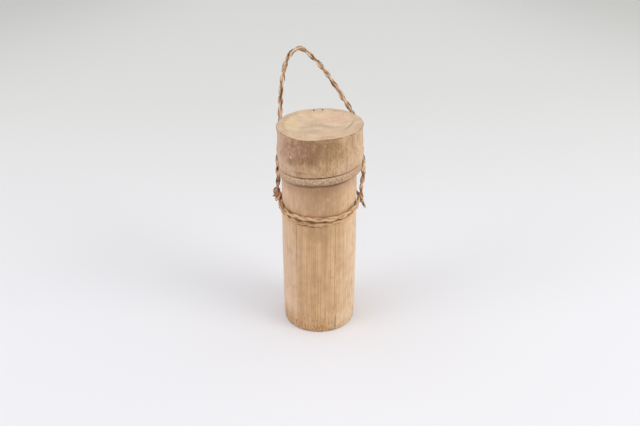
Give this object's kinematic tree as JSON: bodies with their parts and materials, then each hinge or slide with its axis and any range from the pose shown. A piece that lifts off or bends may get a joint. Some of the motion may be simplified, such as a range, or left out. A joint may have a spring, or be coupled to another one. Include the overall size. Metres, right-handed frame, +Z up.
{
  "type": "lidded bamboo canister",
  "caption": "Bamboo tube canister with a lift-off cap lid and a twisted fibre cord sling whose loop serves as its handle.",
  "frame": {"origin": "centre of the foot, on the surface that the canister stands on", "axes": "+Z up along the tube, -Y towards the front, +X to the right seen from the front"},
  "size_m": [0.1068, 0.1124, 0.3175],
  "materials": {
    "bamboo_tube": "bare dry bamboo, satin",
    "bamboo_lid": "bare dry bamboo, handled and darkened",
    "bark_cord": "two-ply twisted plant fibre, dry",
    "bark_cord_dark": "twisted plant fibre, darkened at the ties"
  },
  "bodies": {
    "canister": {"tube": "bamboo_tube", "waist_ring": "bark_cord", "left_knot": "bark_cord_dark", "right_hitch": "bark_cord_dark", "hitch_tail": "bark_cord_dark"},
    "lid": {"lid": "bamboo_lid"},
    "loop": {"carrying_loop": "bark_cord"}
  },
  "joints": [
    {"name": "lid_lift", "type": "slide", "parent": "canister", "child": "lid", "axis": [0, 0, 1], "range_m": [0, 0.06]},
    {"name": "loop_swing", "type": "hinge", "parent": "canister", "child": "loop", "pos_m": [0, 0.0065, 0.16905], "axis": [0.9992, 0, -0.0402], "range_deg": [-70, 0]}
  ]
}
